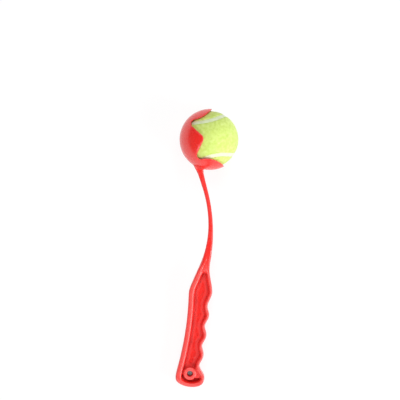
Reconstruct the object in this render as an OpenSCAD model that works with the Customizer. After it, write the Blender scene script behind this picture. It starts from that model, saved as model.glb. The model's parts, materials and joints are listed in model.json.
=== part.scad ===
// Ball launcher stick for throwing a ball for a dog, with a tennis ball held in its cup.
// Sizes are in millimetres. The stick is drawn flat: X to the finger side, Y along the handle to the cup and
// Z through the thickness, with the origin at the middle of the hang hole. It is then tipped about X, so that
// the butt and the cup both lie on the ground.

/* [Finger grip] */
// Number of finger grooves
groove_count = 4; // [3:1:5]
// Distance along the handle from one groove to the next
groove_pitch = 22; // [20:0.2:25]
// Height of the crests between the grooves
crest_h = 3.3; // [2:0.1:4]
// Share of the pitch at which a crest peaks, above the groove below it
crest_skew = 0.5; // [0.4:0.05:0.7]
// Lean of the row of grooves from the handle's length, in degrees
groove_lean = 7.6; // [5:0.2:10]
// From the hang hole across to the lowest groove
first_groove_x = 11; // [10:0.2:14]
// From the hang hole up to the lowest groove
first_groove_y = 8.8; // [6:0.2:12]
// Rise from the highest groove to the nose of the handle
nose_rise = 14.8; // [12:0.2:18]
// How far the front edge draws in from the nose to the neck
neck_in = 3.3; // [2:0.1:5]
// Rise from the nose to the neck
neck_rise = 26.8; // [24:0.2:32]
// How far the heel stands out past the lowest groove
heel_h = 8.4; // [6:0.2:10]
// Drop from the lowest groove to the heel
heel_drop = 15.4; // [13:0.2:18]

/* [Handle] */
// Thickness of the handle between its two faces
handle_depth = 22; // [18:0.5:26]
// Radius of the handle's hollow back
back_r = 306; // [250:2:360]
// From the nose up to where the back stands upright
back_rise = 5.2; // [0:0.2:10]
// From the hang hole across to the top of the back
back_x = -1.5; // [-3:0.1:1]
// Radius of the rounded butt
butt_r = 34; // [28:0.5:40]
// From the hang hole across to the lowest point of the butt
butt_x = 2.8; // [1:0.1:5]
// From the hang hole down to the lowest point of the butt
butt_drop = 15; // [14:0.1:18]
// Softness of the butt's two corners
butt_soft = 7; // [3:0.1:8]
// Rounding of the outer edges along the back and the butt
edge_r = 2.6; // [1.5:0.1:3.5]
// Rounding of the outer edges along the finger grooves
front_edge_r = 1.4; // [0.8:0.1:2.6]
// Rounding of the outer edges at the neck
neck_r = 5; // [3:0.1:6]
// Length above the recesses over which that rounding grows
neck_soft = 10; // [6:0.5:16]
// Length above that over which it fades into the shaft's
neck_fade = 14; // [8:0.5:20]
// Width of the rim along the back
rim_back = 6.2; // [4.5:0.1:7]
// Width of the rim along the finger grooves
rim_front = 3.5; // [3:0.1:4.5]
// Width of the rim along the butt
rim_butt = 4.6; // [3.5:0.1:6]
// Rounding of the rims' inner lips
lip_r = 2.6; // [0.6:0.1:3]
// Rise from the nose to the tip of the recesses
recess_rise = 22.4; // [16:0.2:24]
// Length of the recesses' rounded tips
recess_tip = 3; // [2:0.2:6]
// Thickness of the web between the two recesses
web_t = 3; // [2:0.1:5]
// Slope of the recess walls, as the width they take up
draft_w = 0.9; // [0.3:0.1:1.4]
// Fillet where the recess walls meet the web
floor_r = 1.2; // [0.4:0.1:1.6]

/* [Hang hole] */
// Diameter of the hang hole
hole_d = 6.5; // [4:0.1:8]
// Wall of the boss around the hang hole
boss_wall = 3.9; // [2.5:0.1:4.5]
// How far each end of the boss lies under the rim
boss_sink = 0.6; // [0.2:0.1:2]
// Rounding of the boss's outer edges
boss_r = 1.4; // [0.4:0.1:2]
// Rounding of the hang hole's ends
hole_lip = 0.8; // [0.2:0.1:1.2]

/* [Shaft] */
// Width of the shaft at its bow, in the plane of the stick
shaft_w = 5.3; // [4.5:0.1:7]
// Thickness of the shaft, through the stick
shaft_depth = 12; // [9:0.5:15]
// Rounding of the shaft's edges
shaft_edge_r = 1.2; // [0.6:0.1:2.2]
// From the hang hole across to the middle of the bow
bow_x = 23.25; // [21:0.25:26]
// Rise from the neck to the bow of the back edge
bow_rise = 48.6; // [44:0.2:54]
// How far the front edge bows below the back edge
bow_skew = 8.2; // [4:0.1:12]
// Radius of the back edge above the bow
back_upper_r = 134; // [115:1:155]
// Radius of the back edge below the bow
back_lower_r = 109; // [95:1:125]
// Angle at which the back edge runs straight up to the cup
back_lean = 18; // [14:0.2:22]
// Angle at which the back edge runs straight down to the handle's shoulder
shoulder_angle = 24.2; // [20:0.2:28]
// Radius of the front edge
front_r = 185; // [165:1:215]
// Angle at which the front edge runs straight up to the cup
front_lean = 14; // [11:0.2:16]
// Rise from the bow to the cup
shaft_rise = 63.6; // [55:0.2:75]
// Length over which the handle's thickness thins to the shaft's
depth_taper = 46; // [30:1:60]
// Length of the gussets where the shaft meets the cup
gusset_len = 9; // [6:0.5:14]
// Spread of the gussets on each side of the shaft
gusset_w = 1.6; // [0.6:0.1:2.6]
// Softness of the blends between the handle and the shaft
blend_w = 1.4; // [0.6:0.1:3]

/* [Cup] */
// Wall of the cup
cup_wall = 1.9; // [1.6:0.1:3]
// Gap between the cup and the ball
cup_gap = 0.35; // [0.3:0.05:0.8]
// How far the cup's middle lies to the finger side of the shaft's end
cup_side = 12.3; // [10:0.1:16]
// Angle by which the mouth turns up from the finger side, in degrees
mouth_turn = 10.2; // [0:0.2:20]
// How far the mouth's middle line lies above the ball's middle
mouth_shift = 1.6; // [-3:0.1:3]
// How far back from the ball's middle the roots of the notches lie
notch_back = 17.5; // [15:0.1:20]
// Rounding of the notches' roots
notch_r = 4; // [2:0.1:4.4]
// From the mouth's middle line to the straight edge of a claw
claw_edge = 22; // [21.4:0.1:24]
// Radius of the curve from that edge out to the claw's tip
claw_r = 30; // [26:0.5:34]
// From the mouth's middle line to the side tongue's root
tongue_w = 15.8; // [12:0.1:16.2]
// How far back from the ball's middle the tongue's corner lies before rounding
tongue_back = 5.7; // [4:0.1:9]
// Rounding of the tongue's tip
tongue_r = 6; // [3:0.1:7]

/* [Ball] */
// Diameter of the ball over its felt
ball_d = 63.5; // [61:0.1:67]
// Thickness of the felt
felt_t = 2.8; // [2:0.1:3.4]
// Wall of the rubber core
core_wall = 3.4; // [2.5:0.1:5]
// Width of the seam
seam_w = 4.6; // [2.5:0.1:5.5]
// How far the seam lies under the face of the felt
seam_sink = 0.7; // [0.3:0.1:1.2]
// Layer of rubber solution between the ball's pieces
cement_t = 0.1; // [0.05:0.01:0.3]
// Angle between the seams at a panel's waist, in degrees
waist_angle = 78; // [60:1:86]
// Turn of the ball in the cup, in degrees
ball_turn = 57; // [0:1:180]

/* [Hidden] */
$fn = 96;

// Heights along the stick
butt_y = -butt_drop;
last_groove_y = first_groove_y + (groove_count - 1) * groove_pitch;
nose_y = last_groove_y + nose_rise;
neck_y = nose_y + neck_rise;
bow_y = neck_y + bow_rise;
shaft_top_y = bow_y + shaft_rise;
recess_top_y = nose_y + recess_rise;
recess_low_y = butt_y + rim_butt;
back_top_y = nose_y + back_rise;

// Cup and ball
ball_r = ball_d / 2;
hollow_r = ball_r + cup_gap;
cup_r = hollow_r + cup_wall;
core_r = ball_r - felt_t;
hole_r = hole_d / 2;
boss_h = handle_depth - 2 * boss_sink;

// Most of a width that a corner's rounding, or a recess wall with its fillet, may take up
round_share = 0.46;
foot_share = 0.4;

// Least width of a recess, and least rounding of its lip
recess_least = 1;
lip_least = 0.3;

// How far a cut runs on past the face that it opens, and a lip past the face that it rounds
overcut = 1;
lip_over = 0.1;

// Half of the step on which a slope is measured
nudge = 0.05;

// Length of the butt along which the cross-sections crowd together
butt_run = butt_r / 3;

// Degrees along the seam from a panel's waist to just short of its tip
lobe_angle = 88;

// Steps of the curved forms
corner_steps = 4;
arc_steps = 10;
butt_steps = 8;
tip_steps = 4;
lip_steps = 3;
fillet_steps = 2;
handle_step = 2;
recess_step = 2.6;
shaft_step = 4;
panel_rows = 16;
panel_columns = 10;
seam_steps = 72;

function unit(v) = v / norm(v);
function ease(t) = (1 - cos(180 * min(1, max(0, t)))) / 2;
function soft_max(a, b, w) = (a + b + sqrt((a - b) * (a - b) + w * w)) / 2;
function soft_min(a, b, w) = -soft_max(-a, -b, w);

// How far an arc of radius r falls away from its crown at a distance d along it, and the same where the arc
// runs on straight once it leans by an angle
function fall(d, r) = r - sqrt(max(0, r * r - d * d));
function bend(d, r, angle) =
    fall(min(d, r * sin(angle)), r) + max(0, d - r * sin(angle)) * tan(angle);

// The front edge: grooves and crests on a leaning line, a nose above them and a heel below
function groove_line(y) = first_groove_x + (y - first_groove_y) * tan(groove_lean);
function crest(p) = p < crest_skew ? ease(p / crest_skew) : ease((1 - p) / (1 - crest_skew));
function groove_phase(y) = let (p = (y - first_groove_y) / groove_pitch) p - floor(p);
nose_x = groove_line(nose_y) + crest_h;
function grip_edge(y) =
    y < first_groove_y ? groove_line(y) + heel_h * ease((first_groove_y - y) / heel_drop) :
    y < last_groove_y ? groove_line(y) + crest_h * crest(groove_phase(y)) :
    y < nose_y ? groove_line(y) + crest_h * ease((y - last_groove_y) / nose_rise) :
    nose_x - neck_in * ease((y - nose_y) / neck_rise) - max(0, y - neck_y);
function front_fall(d) = d > 0 ? bend(d, front_r, front_lean) : fall(d, front_r);
function shaft_front(y) = bow_x + shaft_w / 2 - front_fall(y - bow_y + bow_skew);

// The back edge: a long hollow curve, a shoulder, a straight run and the bowed shaft
function back_fall(d) =
    d > 0 ? bend(d, back_upper_r, back_lean) : bend(-d, back_lower_r, shoulder_angle);
function shaft_back(y) = bow_x - shaft_w / 2 - back_fall(y - bow_y);
function handle_back(y) = back_x - fall(max(0, back_top_y - y), back_r);

// The butt's round end, its half width, inset by a rim
function butt_half(y, inset) =
    let (d = butt_y + butt_r - y)
    d < 0 ? butt_r - d : sqrt(max(0, (butt_r - inset) * (butt_r - inset) - d * d));

// The gussets spread towards the cup
function gusset(y) = pow(min(1, max(0, (y - shaft_top_y) / gusset_len + 1)), 2);

// Both edges of the stick above the butt, and how much longer a width is across X than square to the edge
function back_edge(y) = soft_max(handle_back(y), shaft_back(y), blend_w) - gusset_w * gusset(y);
function front_edge(y) = soft_max(grip_edge(y), shaft_front(y), blend_w / 2) + gusset_w * gusset(y);
function back_slant(y) = norm([1, (back_edge(y + nudge) - back_edge(y - nudge)) / (2 * nudge)]);
function front_slant(y) = norm([1, (front_edge(y + nudge) - front_edge(y - nudge)) / (2 * nudge)]);

// Both edges of the stick, inset by a rim
function left_edge(y, inset = 0, butt_inset = 0) =
    soft_max(back_edge(y) + inset * back_slant(y), butt_x - butt_half(y, butt_inset), butt_soft);
function right_edge(y, inset = 0, butt_inset = 0) =
    soft_min(front_edge(y) - inset * front_slant(y), butt_x + butt_half(y, butt_inset), butt_soft);

// Half the stick's thickness, which thins from the handle to the shaft and rounds off at the butt
function half_depth(y) =
    handle_depth / 2 - (handle_depth - shaft_depth) / 2 * ease((y - nose_y) / depth_taper)
    + gusset_w / 2 * gusset(y) - fall(max(0, edge_r - (y - butt_y)), edge_r);

// A cross-section of the stick: a rectangle with round corners
function edge_round(y, r) =
    r + (neck_r - r) * ease((y - recess_top_y) / neck_soft)
    - (neck_r - shaft_edge_r) * ease((y - recess_top_y - neck_soft) / neck_fade);
function stick_section(y) =
    let (left = left_edge(y), right = right_edge(y), h = half_depth(y))
    let (most = round_share * min(right - left, 2 * h))
    [for (corner = [0:3], i = [0:corner_steps])
        let (angle = 90 * (corner + i / corner_steps), front = corner == 0 || corner == 3)
        let (r = min(most, edge_round(y, front ? front_edge_r : edge_r)))
        let (x = front ? right - r : left + r, z = corner < 2 ? h - r : r - h)
        [x + r * cos(angle), y, z + r * sin(angle)]];

// Heights of the cross-sections
butt_ys = [for (i = [1:butt_steps]) butt_y + butt_run * (1 - cos(90 * i / butt_steps))];
handle_ys = [for (y = [butt_y + butt_run + handle_step:handle_step:neck_y]) y];
shaft_end_y = shaft_top_y + cup_wall + 2 * gusset_w;
shaft_rings = round((shaft_end_y - neck_y) / shaft_step);
shaft_ys = [for (i = [1:shaft_rings]) neck_y + (shaft_end_y - neck_y) * i / shaft_rings];

// The outline of a recess, up its front wall and down its back wall, with a rounded tip
recess_low_ys = [for (i = [1:butt_steps]) recess_low_y + butt_run * (1 - cos(90 * i / butt_steps))];
recess_mid_ys = [for (y = [recess_low_y + butt_run + recess_step:recess_step:recess_top_y - recess_tip]) y];
recess_tip_ys = [for (i = [1:tip_steps]) recess_top_y - recess_tip * (1 - sin(90 * i / (tip_steps + 1)))];
recess_ys = concat(recess_low_ys, recess_mid_ys, recess_tip_ys);
function tip_share(y) = sqrt(1 - pow(max(0, 1 + (y - recess_top_y) / recess_tip), 2));
function recess_span(y) =
    let (left = left_edge(y, rim_back, rim_butt), right = right_edge(y, rim_front, rim_butt))
    let (middle = (left + right) / 2, half = max(recess_least, right - left) / 2 * tip_share(y))
    [middle - half, middle + half];
recess_outline = concat(
    [for (y = recess_ys) [recess_span(y)[1], y]],
    [for (i = [len(recess_ys) - 1:-1:0]) [recess_span(recess_ys[i])[0], recess_ys[i]]]);

// The direction square to a recess's wall, out of the recess, and the rounding of its lip there
function outline_point(i) = recess_outline[(i + len(recess_outline)) % len(recess_outline)];
function wall_out(i) = let (d = unit(outline_point(i + 1) - outline_point(i - 1))) [d[1], -d[0]];
back_lip = max(lip_least, min(lip_r, rim_back - edge_r));
front_lip = max(lip_least, min(lip_r, rim_front - front_edge_r));
function wall_lip(i) = back_lip + (front_lip - back_lip) * ease((1 + wall_out(i)[0]) / 2);

// Levels of a recess: its open top, its rounded lip, its sloping wall, the fillet at its foot, which ends
// just under the web's face, and an end inside the web
function top_point(i) =
    let (p = outline_point(i) + wall_lip(i) * wall_out(i))
    [p[0], p[1], handle_depth / 2 + overcut];
function lip_point(i, angle) =
    let (lip = wall_lip(i), p = outline_point(i) + lip * (1 - cos(angle)) * wall_out(i))
    [p[0], p[1], half_depth(p[1]) - lip + (lip + lip_over) * sin(angle)];
function foot_scale(y) =
    let (span = recess_span(y))
    y < nose_y ? 1 : min(1, foot_share * (span[1] - span[0]) / (draft_w + floor_r));
function foot_point(i, angle) =
    let (k = foot_scale(outline_point(i)[1]))
    let (p = outline_point(i) - k * (draft_w + floor_r * (1 - cos(angle))) * wall_out(i))
    [p[0], p[1], web_t / 2 + k * floor_r * (1 - sin(angle)) - lip_over * sin(angle)];
function end_point(i) = let (p = foot_point(i, 90)) [p[0], p[1], web_t / 4];
recess_points = [0:len(recess_outline) - 1];
recess_levels = concat(
    [[for (i = recess_points) top_point(i)]],
    [for (s = [lip_steps:-1:0]) [for (i = recess_points) lip_point(i, 90 * s / lip_steps)]],
    [for (s = [0:fillet_steps]) [for (i = recess_points) foot_point(i, 90 * s / fillet_steps)]],
    [[for (i = recess_points) end_point(i)]]);

// Skins a stack of equal cross-sections, closed by its two ends or into a loop
module loft(sections, loop = false) {
    n = len(sections[0]);
    m = len(sections);
    spans = loop ? m - 1 : m - 2;
    walls = [for (i = [0:spans], j = [0:n - 1], half = [0, 1])
        let (a = i * n + j, b = i * n + (j + 1) % n)
        let (c = (i + 1) % m * n + j, d = (i + 1) % m * n + (j + 1) % n)
        half == 0 ? [a, b, d] : [a, d, c]];
    ends = loop ? [] : [[for (j = [n - 1:-1:0]) j], [for (j = [0:n - 1]) (m - 1) * n + j]];
    polyhedron([for (s = sections) each s], concat(walls, ends), convexity = 10);
}

// Rounds each corner of an outline, given as [x, y, radius]
function corner_arc(a, p, b, r) =
    let (u = unit(a - p), v = unit(b - p))
    let (half = acos(u * v) / 2)
    let (middle = p + unit(u + v) * r / sin(half))
    let (from = p + u * r / tan(half) - middle, to = p + v * r / tan(half) - middle)
    [for (i = [0:arc_steps]) middle + r * unit(from * (arc_steps - i) + to * i)];
function flat_point(c) = [c[0], c[1]];
function rounded(corners) =
    let (n = len(corners))
    [for (i = [0:n - 1])
        let (a = flat_point(corners[(i + n - 1) % n]), b = flat_point(corners[(i + 1) % n]))
        let (p = flat_point(corners[i]), r = corners[i][2])
        each r > 0 ? corner_arc(a, p, b, r) : [p]];

// Side view of what is cut from the cup between its claws and its side tongues: X out of the mouth, the same
// above and below the mouth's middle line
claw_sweep = 55;
claw_bend = claw_r * tan(claw_sweep / 2) - notch_back + notch_r;
claw_run = 2 * cup_r;
window_upper = [
    [claw_bend + claw_run * cos(claw_sweep), claw_edge + claw_run * sin(claw_sweep), 0],
    [claw_bend, claw_edge, claw_r],
    [-notch_back, claw_edge, notch_r],
    [-notch_back, tongue_w, notch_r]];
window_lower = [for (i = [len(window_upper) - 1:-1:0]) let (c = window_upper[i]) [c[0], -c[1], c[2]]];
window = rounded(concat(window_upper, [[-tongue_back, 0, tongue_r]], window_lower));

// Where the ball sits, from the end of the shaft
shaft_top_x = (shaft_back(shaft_top_y) + shaft_front(shaft_top_y)) / 2;
cup_x = shaft_top_x + cup_side;
cup_y = shaft_top_y + sqrt(cup_r * cup_r - cup_side * cup_side);

// The tilt at which the tongue's tip and the butt's edge both lie on the ground
tongue_half = atan2(tongue_w, notch_back - tongue_back);
tongue_tip = tongue_back + tongue_r / sin(tongue_half) - tongue_r;
tongue_drop = sqrt(cup_r * cup_r - tongue_tip * tongue_tip - mouth_shift * mouth_shift);
lie_run = cup_y + mouth_shift - tongue_tip * sin(mouth_turn) - butt_y - edge_r;
lie = asin(tongue_drop / norm([lie_run, handle_depth / 2])) - atan2(handle_depth / 2, lie_run);

module lying() {
    rotate([lie, 0, 0]) children();
}

module at_cup() {
    translate([cup_x, cup_y, 0]) rotate([0, 0, mouth_turn]) children();
}

module at_ball() {
    translate([cup_x, cup_y, 0]) rotate([0, 0, ball_turn]) children();
}

module recess() {
    loft(recess_levels);
}

// The web between the recesses
module web() {
    linear_extrude(height = web_t, center = true)
        polygon([for (i = recess_points) outline_point(i) + overcut * wall_out(i)]);
}

// The boss around the hang hole, a ring with rounded edges
module hang_ring() {
    rotate_extrude() polygon(rounded([
        [hole_r, -boss_h / 2, hole_lip],
        [hole_r + boss_wall, -boss_h / 2, boss_r],
        [hole_r + boss_wall, boss_h / 2, boss_r],
        [hole_r, boss_h / 2, hole_lip]]));
}

module handle_and_shaft() {
    difference() {
        union() {
            difference() {
                loft([for (y = concat(butt_ys, handle_ys, shaft_ys)) stick_section(y)]);
                recess();
                mirror([0, 0, 1]) recess();
            }
            web();
        }
        cylinder(r = hole_r + boss_wall / 2, h = handle_depth, center = true);
    }
    hang_ring();
}

// The ball's seat, and its way out through the mouth
module cup_hollow() {
    sphere(r = hollow_r);
    rotate([0, 90, 0]) cylinder(r = hollow_r, h = cup_r);
}

module launcher_stick() {
    color("red") lying() difference() {
        union() {
            handle_and_shaft();
            at_cup() sphere(r = cup_r);
        }
        at_cup() cup_hollow();
        at_cup() translate([0, mouth_shift, 0])
            linear_extrude(height = 2 * (cup_r + overcut), center = true) polygon(window);
    }
}

module core_half(side) {
    color("dimgray") lying() at_ball() intersection() {
        layer(core_r - core_wall, core_r);
        translate([0, 0, side * ball_r]) cube(2 * ball_r, center = true);
    }
}

// The seam's line on a unit sphere, and the direction square to it, from two points a little before and after
before_angle = 0.5;
seam_a = (1 + sin(waist_angle / 2)) / 2;
seam_b = (1 - sin(waist_angle / 2)) / 2;
seam_c = 2 * sqrt(seam_a * seam_b);
function seam_at(t) =
    [seam_a * cos(t) + seam_b * cos(3 * t), seam_a * sin(t) - seam_b * sin(3 * t), seam_c * sin(2 * t)];
function seam_side(t) = unit(cross(seam_at(t + before_angle) - seam_at(t - before_angle), seam_at(t)));
function beside_seam(t, distance) = unit(seam_at(t) + seam_side(t) * distance / ball_r);

// One felt panel on a unit sphere, as rows across its length from the tip of one lobe to the tip of the other
panel_inset = seam_w / 2 + cement_t;
function across(p) = [-p[1], -p[0], p[2]];
function half_turn(p) = [-p[0], -p[1], p[2]];
function panel_row(p, q) = [for (j = [0:panel_columns]) unit(p * (panel_columns - j) + q * j)];
lobe_edge = [for (i = [0:panel_rows]) beside_seam(45 - lobe_angle * i / panel_rows, -panel_inset)];
panel_grid = concat(
    [for (i = [panel_rows:-1:0]) panel_row(lobe_edge[i], across(lobe_edge[i]))],
    [for (i = [1:panel_rows]) panel_row(half_turn(across(lobe_edge[i])), half_turn(lobe_edge[i]))]);

// A layer of the ball between two radii
module layer(inner, outer) {
    difference() {
        sphere(r = outer);
        sphere(r = inner);
    }
}

// A wedge from inside the core out past the felt, under one row of points after another
wedge_bottom = core_r / 2;
wedge_top = ball_r + core_r / 4;
function wedge_section(row) =
    concat([for (p = row) p * wedge_top], [for (j = [len(row) - 1:-1:0]) row[j] * wedge_bottom]);

// The layer's own poles lie under the other panel's lobes
module felt_panel(turn) {
    color("greenyellow") lying() at_ball() rotate([turn, 0, 0]) intersection() {
        rotate([0, 90, 45]) layer(core_r + cement_t, ball_r);
        loft([for (row = panel_grid) wedge_section(row)]);
    }
}

module ball_seam() {
    color("ivory") lying() at_ball() intersection() {
        layer(core_r + cement_t, ball_r - seam_sink);
        loft([for (i = [0:seam_steps - 1])
            let (t = 360 * i / seam_steps)
            wedge_section([beside_seam(t, seam_w / 2), beside_seam(t, -seam_w / 2)])], loop = true);
    }
}

launcher_stick();
core_half(1);  // ball_core_half_1
core_half(-1);  // ball_core_half_2
felt_panel(0);  // felt_panel_1
felt_panel(180);  // felt_panel_2
ball_seam();
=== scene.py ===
"""The looks of a ball launcher stick: a glossy red moulding that holds a felted tennis ball in its cup."""

import json
import math

import bmesh
import bpy
import numpy as np
from mathutils import Matrix, Vector, noise


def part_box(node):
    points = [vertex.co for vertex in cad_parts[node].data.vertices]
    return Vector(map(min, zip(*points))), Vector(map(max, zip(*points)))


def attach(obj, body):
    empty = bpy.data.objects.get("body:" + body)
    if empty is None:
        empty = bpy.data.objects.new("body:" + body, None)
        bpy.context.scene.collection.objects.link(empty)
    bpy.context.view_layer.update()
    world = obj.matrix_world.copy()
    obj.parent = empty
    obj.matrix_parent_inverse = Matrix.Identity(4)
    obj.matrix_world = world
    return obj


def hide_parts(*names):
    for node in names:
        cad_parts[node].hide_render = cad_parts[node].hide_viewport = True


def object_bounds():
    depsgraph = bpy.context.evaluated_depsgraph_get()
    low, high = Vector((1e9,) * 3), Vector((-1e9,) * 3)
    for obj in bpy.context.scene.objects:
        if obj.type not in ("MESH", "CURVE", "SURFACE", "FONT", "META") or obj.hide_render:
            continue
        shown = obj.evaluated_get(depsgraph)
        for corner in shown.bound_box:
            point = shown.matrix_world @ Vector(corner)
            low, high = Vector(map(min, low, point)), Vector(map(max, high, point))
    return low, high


MM = 0.001

# The view: where the photograph shows the hang hole, in its pixels, and how large a pixel is in the plane of
# the handle's outline
PHOTO_SIDE = 400
HOLE_PIXEL = (189.8, 373.6)
PIXEL_SIZE = 1.11 * MM
PHOTO_PLANE = 8 * MM
CAMERA_DISTANCE = 1.6
SENSOR = 36

# Fine meshes: how near corners are welded, as a share of a voxel, how far a vertex moves towards its
# neighbours in a round of smoothing, and the steps in which an edge is followed along the stick
WELD_SHARE = 0.01
SMOOTH_SHARE = 0.5
ROW_STEP = 1 * MM

# The moulding: how fine its mesh is, and how much its edges are rounded
STICK_VOXEL = 0.7 * MM
STICK_ROUNDS = 4
# The parting line: its half width and height, how far it keeps from the hang hole's middle, and how far
# beyond the ball the cup's wall reaches
PARTING_HALF = 0.7 * MM
PARTING_RISE = 0.12 * MM
HOLE_CLEAR = 8 * MM
CUP_REACH = 4 * MM
# How far around a point its bulge is measured, in rounds of smoothing, the bulge that counts as a full edge,
# and the rounds that even the values out
EDGE_ROUNDS = 12
EDGE_FULL = 0.25 * MM
EDGE_SOFT = 4
# The handle's edges are paler, from scuffs and a painted highlight, and the shaft's and the cup's much less:
# where along the stick that changes, and the share before and after
WEAR_AND_HIGHLIGHT_SPAN = (100 * MM, 125 * MM)
WEAR_AND_HIGHLIGHT_SHARE = (1, 0.25)
# Witness marks of the ejector pins on the web: their radius, depth and soft edge, how far from the middle
# plane the web is looked for, and each mark's place across and along from the hang hole and its face
PIN_R = 2.4 * MM
PIN_DEPTH = 0.3 * MM
PIN_SOFT = 0.5 * MM
WEB_REACH = 3 * MM
PINS = ((5 * MM, 15 * MM, 1), (2 * MM, 30 * MM, -1), (6 * MM, 62 * MM, -1), (10 * MM, 94 * MM, -1))
# The step that carries the back rim on into the neck: how far it lies from the back edge, its width and
# depth, where along the stick it starts, is deepest and ends, and how far from the middle plane the faces
# begin
STEP_IN = 4.7 * MM
STEP_W = 2.8 * MM
STEP_DEPTH = 1.2 * MM
STEP_SPAN = (104 * MM, 117 * MM, 142 * MM)
STEP_FACE = 2.5 * MM
# The neck's front edge, squared up: where along the stick, how far in from the edge, and the deepest drop
# that it fills
SQUARE_SPAN = (113 * MM, 117 * MM, 134 * MM, 142 * MM)
SQUARE_EDGE = 0.8 * MM
SQUARE_DROP = 2.2 * MM
# The bridge between the boss round the hang hole and the front rim: where it starts across, its middle and
# half width along the stick, its height over the middle plane, how steeply its ends fall, and the width of
# the rim that it stops at
BRIDGE_X = 6.0 * MM
BRIDGE_Y = 0.8 * MM
BRIDGE_HALF = 5.6 * MM
BRIDGE_TOP = 9.2 * MM
BRIDGE_FALL = 5
BRIDGE_RIM = 2 * MM

# The ball: how fine its felt and its seam are and how much they are rounded, and how far the seam's sides
# swell up to the felt
FELT_VOXEL = 0.9 * MM
FELT_ROUNDS = 5
SEAM_VOXEL = 0.45 * MM
SEAM_ROUNDS = 6
SEAM_SWELL = 0.5 * MM
# The felt's nap: how far it sinks, the height and length of its lumps, and how deep its outside reaches
NAP_DROP = 0.35 * MM
NAP_HEIGHT = 0.22 * MM
NAP_GRAIN = 2.6 * MM
NAP_DEPTH = 3 * NAP_DROP
# Loose fibres: how many, their corners round, their radius, length and rise with the spread of both, and how
# deep they root
FIBRE_COUNT = 9000
FIBRE_SIDES = 3
FIBRE_R = 0.035 * MM
FIBRE_LENGTH = 1.3 * MM
FIBRE_LENGTHS = (0.6, 1.2)
FIBRE_RISE = 0.12 * MM
FIBRE_RISES = (0.5, 1.5)
FIBRE_ROOT = 0.15 * MM
# Where along a fibre it bends, the share of its radius there, and the share of its rise that the tip keeps
FIBRE_BEND = 0.55
FIBRE_TAPER = 0.8
FIBRE_TIP = 0.5
# The length over which the fibres' directions drift, how much single ones stray, and how far a root lies off
# the middle of its face
FIBRE_SWIRL = 9 * MM
FIBRE_STRAY = 0.5
FIBRE_JITTER = FELT_VOXEL / 4
SEED = 7

# Colours, as shares of red, green and blue light
RED_DEEP = (0.80, 0.012, 0.007)
RED_BRIGHT = (0.87, 0.018, 0.011)
# The pale red for edges is partly scuff wear and partly a painted highlight; the dark red for hollows is
# painted shade
RED_SCUFFS_AND_HIGHLIGHT = (0.90, 0.10, 0.09)
RED_PAINTED_SHADE = (0.35, 0.006, 0.005)
FELT_DEEP = (0.51, 0.65, 0.12)
FELT_MIDDLE = (0.59, 0.73, 0.19)
FELT_PALE = (0.66, 0.78, 0.29)
FELT_SHEEN = (0.93, 1.0, 0.62)
FIBRE_DEEP = (0.55, 0.69, 0.16)
FIBRE_PALE = (0.66, 0.76, 0.30)
FIBRE_SHEEN = (0.95, 1.0, 0.70)
SEAM_DUSTY = (0.64, 0.73, 0.44)
SEAM_PALE = (0.74, 0.82, 0.56)
CORE_DARK = (0.05, 0.05, 0.055)
CORE_PALE = (0.09, 0.09, 0.095)
WHITE = (1, 1, 1)

# The studio: lights as (name, direction in the stick's frame, distance, width, height, power)
SOFTBOXES = (
    ("strip_right", (0.83, -0.36, 0.42), 1.1, 0.5, 1.1, 14),
    ("softbox_upper", (0.05, 0.6, 0.78), 1.4, 0.9, 0.9, 11),
    ("softbox_lower", (-0.35, -0.65, 0.67), 1.4, 0.9, 0.9, 10.5),
)
SURROUND = 0.2
# The floor: half its width, its shade, and its own glow, which fades where the object covers it as a painted
# shadow. The shelter is how far above the floor the object dims it, and the glow starts and is full at these
# open shares
FLOOR_HALF = 3
FLOOR_SHADE = 0.15
FLOOR_GLOW = 0.85
FLOOR_SHELTER = 8 * MM
GLOW_START = 0.21
GLOW_FULL = 0.5

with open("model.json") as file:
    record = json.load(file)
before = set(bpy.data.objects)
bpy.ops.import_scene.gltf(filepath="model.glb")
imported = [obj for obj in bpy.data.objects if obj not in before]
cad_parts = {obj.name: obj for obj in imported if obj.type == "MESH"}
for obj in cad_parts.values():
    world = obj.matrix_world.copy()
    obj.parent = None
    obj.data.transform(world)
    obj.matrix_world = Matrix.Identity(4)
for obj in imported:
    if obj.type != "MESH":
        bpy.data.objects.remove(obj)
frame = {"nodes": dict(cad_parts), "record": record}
cad_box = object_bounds()


def stick_axes():
    """The stick's own frame in the row: X to the finger side, Y to the cup, Z out of its face."""
    mount = next(m for m in frame["record"]["mounts"] if m["name"] == "hang_hole")
    across = Vector((1, 0, 0))
    face = Vector(mount["axis"]).normalized()
    axes = Matrix((across, face.cross(across), face)).transposed().to_4x4()
    axes.translation = Vector(mount["pos_m"])
    return axes


def ball_middle():
    """The ball's centre, and its radius over the felt."""
    low_1, high_1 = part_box("ball_core_half_1")
    low_2, high_2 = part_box("ball_core_half_2")
    low = Vector(map(min, low_1, low_2))
    high = Vector(map(max, high_1, high_2))
    middle = (low + high) / 2
    radius = max((v.co - middle).length for v in frame["nodes"]["felt_panel_1"].data.vertices)
    return middle, radius


STICK = stick_axes()
FACE = np.array(STICK.col[2][:3])
BALL, BALL_R = ball_middle()


def add(name, data):
    """A new object in the scene."""
    piece = bpy.data.objects.new(name, data)
    bpy.context.scene.collection.objects.link(piece)
    return piece


def add_camera():
    """A camera square to the stick's face, framed as the photograph is."""
    data = bpy.data.cameras.new("camera")
    data.sensor_width = SENSOR
    data.lens = SENSOR * (CAMERA_DISTANCE - PHOTO_PLANE) / (PHOTO_SIDE * PIXEL_SIZE)
    camera = add("camera", data)
    right = (PHOTO_SIDE / 2 - HOLE_PIXEL[0]) * PIXEL_SIZE
    up = (HOLE_PIXEL[1] - PHOTO_SIDE / 2) * PIXEL_SIZE
    camera.matrix_world = STICK @ Matrix.Translation((right, up, CAMERA_DISTANCE))
    bpy.context.scene.camera = camera


# Mesh tools


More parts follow.
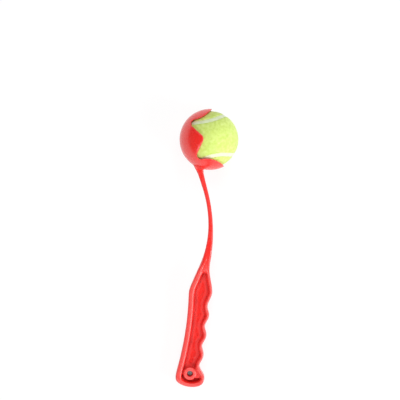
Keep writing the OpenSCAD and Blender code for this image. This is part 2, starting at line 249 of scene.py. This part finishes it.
def points_of(mesh):
    """A mesh's vertices as rows of an array."""
    points = np.empty(len(mesh.vertices) * 3)
    mesh.vertices.foreach_get("co", points)
    return points.reshape(-1, 3)


def normals_of(mesh):
    """A mesh's vertex normals as rows of an array."""
    normals = np.empty(len(mesh.vertices) * 3)
    mesh.vertex_normals.foreach_get("vector", normals)
    return normals.reshape(-1, 3)


def set_points(mesh, points):
    """Puts the rows of an array back as the mesh's vertices."""
    mesh.vertices.foreach_set("co", points.ravel())
    mesh.update()


def cover(mesh, material):
    """Gives a mesh one material all over."""
    mesh.materials.clear()
    mesh.materials.append(material)


def smoothed(rows, mesh, rounds):
    """Rows of numbers, one per vertex, each moved several times towards the mean of its neighbours."""
    edges = np.empty(len(mesh.edges) * 2, dtype=np.int64)
    mesh.edges.foreach_get("vertices", edges)
    first, second = edges.reshape(-1, 2).T
    count = np.bincount(edges, minlength=len(rows))[:, None]
    rows = rows.copy()
    for _ in range(rounds):
        sums = np.stack(
            [
                np.bincount(first, rows[second, column], len(rows))
                + np.bincount(second, rows[first, column], len(rows))
                for column in range(rows.shape[1])
            ],
            axis=1,
        )
        rows += SMOOTH_SHARE * (sums / count - rows)
    return rows


def moulded_copy(node, name, voxel, rounds):
    """A fine, even copy of a CAD node's mesh with its edges rounded, which stands for the node."""
    rough = bmesh.new()
    rough.from_mesh(frame["nodes"][node].data)
    bmesh.ops.remove_doubles(rough, verts=rough.verts, dist=voxel * WELD_SHARE)
    mesh = bpy.data.meshes.new(name)
    rough.to_mesh(mesh)
    rough.free()
    piece = add(name, mesh)
    remesh = piece.modifiers.new("voxels", "REMESH")
    remesh.mode = "VOXEL"
    remesh.voxel_size = voxel
    fine = bpy.data.meshes.new_from_object(piece.evaluated_get(bpy.context.evaluated_depsgraph_get()))
    piece.modifiers.clear()
    piece.data = fine
    bpy.data.meshes.remove(mesh)
    fine.name = name
    set_points(fine, smoothed(points_of(fine), fine, rounds))
    fine.shade_smooth()
    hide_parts(node)
    return piece


def bump_noise(points, grain, seed):
    """Smooth noise at each point, from about -1 to 1."""
    shift = Vector((seed, 2 * seed, 3 * seed))
    return np.array([noise.noise(Vector(p) / grain + shift) for p in points])


def keep_values(mesh, name, values):
    """Stores one number per vertex for the mesh's material to read."""
    mesh.attributes.new(name, "FLOAT", "POINT").data.foreach_set("value", values.astype(np.float32))


# Material tools


def new_material(name):
    """A material with its tree and its main shader."""
    material = bpy.data.materials.new(name)
    material.use_nodes = True
    tree = material.node_tree
    return material, tree, tree.nodes["Principled BSDF"]


def link(tree, source, target):
    """Joins two sockets of a material."""
    tree.links.new(source, target)


def set_inputs(node, values):
    """Sets a node's sockets by their names."""
    for name, value in values.items():
        node.inputs[name].default_value = value


def noise_texture(tree, grain, detail=3.0, stretch=(1, 1, 1)):
    """Noise in the row frame, whose features are about as long as grain."""
    place = tree.nodes.new("ShaderNodeTexCoord")
    scale = tree.nodes.new("ShaderNodeMapping")
    set_inputs(scale, {"Scale": stretch})
    texture = tree.nodes.new("ShaderNodeTexNoise")
    set_inputs(texture, {"Scale": 1 / grain, "Detail": detail})
    link(tree, place.outputs["Object"], scale.inputs["Vector"])
    link(tree, scale.outputs["Vector"], texture.inputs["Vector"])
    return texture.outputs["Fac"]


def ramp(tree, value, stops):
    """Colours along a value, given as (place, colour) pairs."""
    node = tree.nodes.new("ShaderNodeValToRGB")
    elements = node.color_ramp.elements
    while len(elements) < len(stops):
        elements.new(0.5)
    for element, (place, colour) in zip(elements, stops):
        element.position = place
        element.color = (*colour, 1)
    link(tree, value, node.inputs["Fac"])
    return node.outputs["Color"]


def spread(tree, value, start, end, low, high):
    """A value from start to end, mapped to low to high."""
    node = tree.nodes.new("ShaderNodeMapRange")
    set_inputs(node, {"From Min": start, "From Max": end, "To Min": low, "To Max": high})
    link(tree, value, node.inputs["Value"])
    return node.outputs["Result"]


def total(tree, first, second):
    """Two values added."""
    node = tree.nodes.new("ShaderNodeMath")
    node.operation = "ADD"
    link(tree, first, node.inputs[0])
    link(tree, second, node.inputs[1])
    return node.outputs["Value"]


def mix_colours(tree, share, first, second):
    """A colour from the tree, mixed by a share with a fixed one."""
    node = tree.nodes.new("ShaderNodeMix")
    node.data_type = "RGBA"
    link(tree, share, node.inputs["Factor"])
    link(tree, first, node.inputs["A"])
    node.inputs["B"].default_value = (*second, 1)
    return node.outputs["Result"]


def add_bump(tree, shader, heights):
    """Small relief, given as (height value, distance) pairs."""
    last = None
    for height, distance in heights:
        bump = tree.nodes.new("ShaderNodeBump")
        bump.inputs["Distance"].default_value = distance
        link(tree, height, bump.inputs["Height"])
        if last is not None:
            link(tree, last, bump.inputs["Normal"])
        last = bump.outputs["Normal"]
    link(tree, last, shader.inputs["Normal"])


def attribute(tree, name):
    """A number that the mesh stores at each vertex."""
    node = tree.nodes.new("ShaderNodeAttribute")
    node.attribute_name = name
    return node.outputs["Fac"]


# Materials


def red_plastic():
    """Glossy moulded polypropylene: faint swirls, an orange-peel skin, edges paler from scuffs and a painted
    highlight, and rougher corners darkened as painted shade.
    """
    material, tree, shader = new_material("red_plastic")
    edge = attribute(tree, "edge")
    hollow = attribute(tree, "hollow")
    swirl = noise_texture(tree, grain=22 * MM, stretch=(1, 0.3, 1))
    base = ramp(tree, swirl, ((0.3, RED_DEEP), (0.7, RED_BRIGHT)))
    # Paler edges: partly scuff wear, partly a painted highlight
    wear_and_highlight = spread(tree, edge, start=0.12, end=0.8, low=0, high=0.45)
    # Darker hollows: painted shade in the corners and recesses
    painted_shade = spread(tree, hollow, start=0.1, end=0.7, low=0, high=0.38)
    unshaded = mix_colours(tree, wear_and_highlight, base, RED_SCUFFS_AND_HIGHLIGHT)
    link(tree, mix_colours(tree, painted_shade, unshaded, RED_PAINTED_SHADE), shader.inputs["Base Color"])
    patches = spread(tree, noise_texture(tree, grain=5 * MM), start=0.3, end=0.7, low=0.20, high=0.30)
    corners = spread(tree, hollow, start=0.02, end=0.4, low=0, high=0.5)
    scuffed = spread(tree, edge, start=0, end=0.6, low=0, high=0.22)
    link(tree, total(tree, total(tree, patches, corners), scuffed), shader.inputs["Roughness"])
    peel = noise_texture(tree, grain=0.9 * MM, detail=1.0)
    scuffs = noise_texture(tree, grain=1.5 * MM, stretch=(1, 0.08, 1))
    add_bump(tree, shader, ((peel, 0.004 * MM), (scuffs, 0.012 * MM)))
    set_inputs(shader, {"IOR": 1.59, "Specular IOR Level": 0.7})
    return material


def yellow_felt():
    """Optic yellow wool and nylon felt, with a matted nap that clumps and catches light at its tips."""
    material, tree, shader = new_material("yellow_felt")
    clumps = noise_texture(tree, grain=3.2 * MM, detail=5.0)
    base = ramp(tree, clumps, ((0.3, FELT_DEEP), (0.55, FELT_MIDDLE), (0.8, FELT_PALE)))
    link(tree, base, shader.inputs["Base Color"])
    set_inputs(shader, {"Roughness": 0.95, "Specular IOR Level": 0.2})
    set_inputs(shader, {"Sheen Weight": 0.35, "Sheen Roughness": 0.5, "Sheen Tint": (*FELT_SHEEN, 1)})
    fuzz = noise_texture(tree, grain=0.5 * MM, detail=4.0)
    add_bump(tree, shader, ((clumps, 0.35 * MM), (fuzz, 0.12 * MM)))
    return material


def felt_fibres():
    """Single fibres of the felt, paler than the mat that they stand out of."""
    material, tree, shader = new_material("felt_fibres")
    shade = noise_texture(tree, grain=6 * MM)
    base = ramp(tree, shade, ((0.3, FIBRE_DEEP), (0.7, FIBRE_PALE)))
    link(tree, base, shader.inputs["Base Color"])
    set_inputs(shader, {"Roughness": 0.7, "Sheen Weight": 0.4, "Sheen Tint": (*FIBRE_SHEEN, 1)})
    return material


def pale_rubber():
    """The cured seam: off-white rubber, a little dusty."""
    material, tree, shader = new_material("pale_rubber")
    dust = noise_texture(tree, grain=4 * MM)
    base = ramp(tree, dust, ((0.3, SEAM_DUSTY), (0.7, SEAM_PALE)))
    link(tree, base, shader.inputs["Base Color"])
    set_inputs(shader, {"Roughness": 0.6})
    grain = noise_texture(tree, grain=0.6 * MM)
    add_bump(tree, shader, ((grain, 0.05 * MM),))
    return material


def dark_rubber():
    """The ball's hollow core: grey moulded rubber with a buffed face."""
    material, tree, shader = new_material("dark_rubber")
    cloud = noise_texture(tree, grain=8 * MM)
    base = ramp(tree, cloud, ((0.3, CORE_DARK), (0.7, CORE_PALE)))
    link(tree, base, shader.inputs["Base Color"])
    set_inputs(shader, {"Roughness": 0.75})
    grain = noise_texture(tree, grain=0.7 * MM)
    add_bump(tree, shader, ((grain, 0.08 * MM),))
    return material


def white_floor():
    """A pale sweep that glows a little, as an evenly lit studio table does, and whose glow fades as a
    painted shadow where the object covers it.
    """
    material, tree, shader = new_material("white_floor")
    set_inputs(shader, {"Base Color": (FLOOR_SHADE, FLOOR_SHADE, FLOOR_SHADE, 1), "Roughness": 0.9})
    set_inputs(shader, {"Specular IOR Level": 0.1, "Emission Strength": FLOOR_GLOW})
    # The glow fades under and beside the object: a painted shadow
    shelter = tree.nodes.new("ShaderNodeAmbientOcclusion")
    set_inputs(shelter, {"Distance": FLOOR_SHELTER})
    glow = spread(tree, shelter.outputs["AO"], start=GLOW_START, end=GLOW_FULL, low=0, high=1)
    link(tree, glow, shader.inputs["Emission Color"])
    return material


# The stick


def add_parting_line(points, normals, local):
    """Raises a fine line round the stick's outline, where the two halves of the mould met."""
    offset = points - np.array(BALL)
    outward = np.sum(offset * normals, axis=1) > 0
    in_cup = np.linalg.norm(offset, axis=1) < BALL_R + CUP_REACH
    near_hole = np.hypot(local[:, 0], local[:, 1]) < HOLE_CLEAR
    rise = np.clip(1 - (local[:, 2] / PARTING_HALF) ** 2, 0, 1) * PARTING_RISE
    rise[near_hole | (in_cup & ~outward)] = 0
    return points + normals * rise[:, None]


def press_pins(points, local):
    """Sinks the round witness marks of the ejector pins into the web."""
    for x, y, side in PINS:
        distance = np.hypot(local[:, 0] - x, local[:, 1] - y)
        depth = np.clip((PIN_R - distance) / PIN_SOFT, 0, 1) * PIN_DEPTH
        depth[(local[:, 2] * side < 0) | (np.abs(local[:, 2]) > WEB_REACH)] = 0
        points = points - np.outer(depth * side, FACE)
    return points


def eased(share):
    """A share from 0 to 1 that starts and ends gently."""
    share = np.clip(share, 0, 1)
    return share * share * (3 - 2 * share)


def edge_along(values, along, start, end, extreme):
    """The greatest or least value near each point's place along the stick, from start to end."""
    rows = np.arange(start, end, ROW_STEP)
    return np.interp(along, rows, [extreme(values[np.abs(along - row) < ROW_STEP]) for row in rows])


def bridge_boss(points, local):
    """Fills the narrow gap between the boss and the front rim on both faces."""
    across, along, height = local.T
    ends = np.clip(np.abs(along - BRIDGE_Y) - BRIDGE_HALF, 0, None)
    start = np.clip(BRIDGE_X - across, 0, None)
    level = BRIDGE_TOP - BRIDGE_FALL * (ends + start)
    reach = BRIDGE_HALF + BRIDGE_TOP
    front = edge_along(across, along, BRIDGE_Y - reach, BRIDGE_Y + reach, np.max)
    lift = np.clip(level - np.abs(height), 0, None)
    lift[across > front - BRIDGE_RIM] = 0
    return points + np.outer(lift * np.sign(height), FACE)


def step_neck(points, local):
    """Squares the neck's front edge and carries the back rim on into it as a low step that fades out."""
    across, along, height = local.T
    place = across - edge_along(across, along, STEP_SPAN[0], STEP_SPAN[2], np.min) - STEP_IN
    inward = edge_along(across, along, SQUARE_SPAN[0], SQUARE_SPAN[3], np.max) - across
    drop = edge_along(np.abs(height), along, SQUARE_SPAN[0], SQUARE_SPAN[3], np.max) - np.abs(height)
    near = (place > 0) & (drop < SQUARE_DROP)
    reach = eased(np.interp(along, SQUARE_SPAN, (0, 1, 1, 0)))
    lift = drop * near * reach * eased((inward - SQUARE_EDGE) / SQUARE_EDGE)
    side = eased(place / STEP_W + 0.5)
    fade = eased(np.interp(along, STEP_SPAN, (0, 1, 0)))
    face = eased((np.abs(height) - STEP_FACE) / STEP_FACE)
    sink = STEP_DEPTH * side * fade * face
    return points + np.outer((lift - sink) * np.sign(height), FACE)


def make_stick(material):
    """Handle, shaft and cup in one moulding, with its parting line and pin marks, and its edges and hollows
    stored for scuffs, a painted highlight and painted shade.
    """
    stick = moulded_copy("launcher_stick", "moulded_stick", STICK_VOXEL, STICK_ROUNDS)
    mesh = stick.data
    points = points_of(mesh)
    normals = normals_of(mesh)
    to_stick = np.array(STICK.inverted())
    local = points @ to_stick[:3, :3].T + to_stick[:3, 3]
    bulge = np.sum((points - smoothed(points, mesh, EDGE_ROUNDS)) * normals, axis=1) / EDGE_FULL
    edge = smoothed(bulge[:, None], mesh, EDGE_SOFT)[:, 0]
    # The edge values pale the colour as scuffs and a painted highlight, mostly on the handle; the hollow
    # values darken it as painted shade
    keep_values(mesh, "edge", np.clip(edge, 0, 1) * np.interp(local[:, 1], WEAR_AND_HIGHLIGHT_SPAN, WEAR_AND_HIGHLIGHT_SHARE))
    keep_values(mesh, "hollow", np.clip(-edge, 0, 1))
    points = add_parting_line(points, normals, local)
    points = press_pins(points, local)
    points = bridge_boss(points, local)
    points = step_neck(points, local)
    set_points(mesh, points)
    cover(mesh, material)
    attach(stick, "stick")


# The ball


def away_from_ball(points):
    """Unit directions from the ball's centre to the points."""
    outward = points - np.array(BALL)
    return outward / np.linalg.norm(outward, axis=1)[:, None]


def make_felt(number, material):
    """One dog-bone panel, with a lumpy nap and edges that roll down to the seam."""
    felt = moulded_copy(f"felt_panel_{number}", f"felt_{number}", FELT_VOXEL, FELT_ROUNDS)
    mesh = felt.data
    points = points_of(mesh)
    outward = away_from_ball(points)
    facing = np.clip(np.sum(outward * normals_of(mesh), axis=1), 0, 1)
    lumps = bump_noise(points, NAP_GRAIN, number) * NAP_HEIGHT
    set_points(mesh, points + outward * (facing * (lumps - NAP_DROP))[:, None])
    cover(mesh, material)
    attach(felt, "ball")
    return felt


def outer_faces(mesh):
    """Middles and areas of the faces on the outside of the ball."""
    count = len(mesh.polygons)
    middles = np.empty(count * 3)
    areas = np.empty(count)
    mesh.polygons.foreach_get("center", middles)
    mesh.polygons.foreach_get("area", areas)
    middles = middles.reshape(-1, 3)
    outside = np.linalg.norm(middles - np.array(BALL), axis=1) > BALL_R - NAP_DEPTH
    return middles[outside], areas[outside]


def fibre(root, direction, rise, length, corners, faces):
    """Adds one bent, tapered, closed fibre."""
    outward = (root - BALL).normalized()
    side = outward.cross(direction).normalized()
    start = len(corners)
    stations = (
        (root - outward * FIBRE_ROOT, 1),
        (root + direction * length * FIBRE_BEND + outward * rise, FIBRE_TAPER),
    )
    for middle, size in stations:
        for turn in range(FIBRE_SIDES):
            angle = math.tau * turn / FIBRE_SIDES
            corners.append(middle + (side * math.cos(angle) + outward * math.sin(angle)) * FIBRE_R * size)
    tip = BALL + (root + direction * length - BALL).normalized() * ((root - BALL).length + rise * FIBRE_TIP)
    corners.append(tip)
    last = start + FIBRE_SIDES * len(stations)
    faces.append(tuple(reversed(range(start, start + FIBRE_SIDES))))
    for turn in range(FIBRE_SIDES):
        a = start + turn
        b = start + (turn + 1) % FIBRE_SIDES
        faces.append((a, b, b + FIBRE_SIDES, a + FIBRE_SIDES))
        faces.append((a + FIBRE_SIDES, b + FIBRE_SIDES, last))


def make_fibres(felts, material):
    """Loose fibres all over the felt, combed in drifting directions."""
    draw = np.random.default_rng(SEED)
    noise.seed_set(SEED)
    corners = []
    faces = []
    for felt in felts:
        middles, areas = outer_faces(felt.data)
        chosen = draw.choice(len(middles), FIBRE_COUNT // len(felts), p=areas / areas.sum())
        for index in chosen:
            root = Vector(middles[index] + draw.normal(0, FIBRE_JITTER, 3))
            outward = (root - BALL).normalized()
            drift = noise.noise_vector(root / FIBRE_SWIRL) + Vector(draw.normal(0, FIBRE_STRAY, 3))
            direction = (drift - outward * drift.dot(outward)).normalized()
            length = FIBRE_LENGTH * draw.uniform(*FIBRE_LENGTHS)
            rise = FIBRE_RISE * draw.uniform(*FIBRE_RISES)
            fibre(root, direction, rise, length, corners, faces)
    mesh = bpy.data.meshes.new("felt_nap")
    mesh.from_pydata(corners, [], faces)
    cover(mesh, material)
    mesh.shade_smooth()
    nap = add("felt_nap", mesh)
    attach(nap, "ball")


def make_seam(material):
    """The rubber seam, a rounded line below the face of the felt, which swells sideways up to the panels."""
    seam = moulded_copy("ball_seam", "seam_line", SEAM_VOXEL, SEAM_ROUNDS)
    mesh = seam.data
    points = points_of(mesh)
    normals = normals_of(mesh)
    outward = away_from_ball(points)
    sideways = normals - outward * np.sum(outward * normals, axis=1)[:, None]
    set_points(mesh, points + sideways * SEAM_SWELL)
    cover(mesh, material)
    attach(seam, "ball")


def finish_core(material):
    """The two halves of the hollow core, inside the felt."""
    for number in (1, 2):
        cover(frame["nodes"][f"ball_core_half_{number}"].data, material)


# The stage


def add_floor(material):
    """A wide floor under the object's lowest point."""
    level = cad_box[0].z
    sides = ((-1, -1), (1, -1), (1, 1), (-1, 1))
    corners = [(x * FLOOR_HALF, y * FLOOR_HALF, level) for x, y in sides]
    mesh = bpy.data.meshes.new("floor")
    mesh.from_pydata(corners, [], [(0, 1, 2, 3)])
    cover(mesh, material)
    add("floor", mesh)


def add_softbox(name, direction, distance, width, height, power):
    """A flat light that points at the middle of the stick."""
    middle = (cad_box[0] + cad_box[1]) / 2
    outward = (STICK.to_3x3() @ Vector(direction)).normalized()
    data = bpy.data.lights.new(name, "AREA")
    data.shape = "RECTANGLE"
    data.size = width
    data.size_y = height
    data.energy = power
    light = add(name, data)
    light.location = middle + outward * distance
    light.rotation_euler = outward.to_track_quat("Z", "Y").to_euler()
    light.visible_camera = False


def light_studio():
    """Soft light from the sides and an even pale surround."""
    world = bpy.data.worlds.new("studio")
    bpy.context.scene.world = world
    world.use_nodes = True
    set_inputs(world.node_tree.nodes["Background"], {"Color": (*WHITE, 1), "Strength": SURROUND})
    for softbox in SOFTBOXES:
        add_softbox(*softbox)


def set_colours():
    """Plain display of the scene's colours."""
    settings = bpy.context.scene.view_settings
    settings.view_transform = "Standard"
    settings.look = "None"


def main():
    """Builds everything."""
    add_camera()
    make_stick(red_plastic())
    felt = yellow_felt()
    felts = [make_felt(number, felt) for number in (1, 2)]
    make_fibres(felts, felt_fibres())
    make_seam(pale_rubber())
    finish_core(dark_rubber())
    add_floor(white_floor())
    light_studio()
    set_colours()


main()
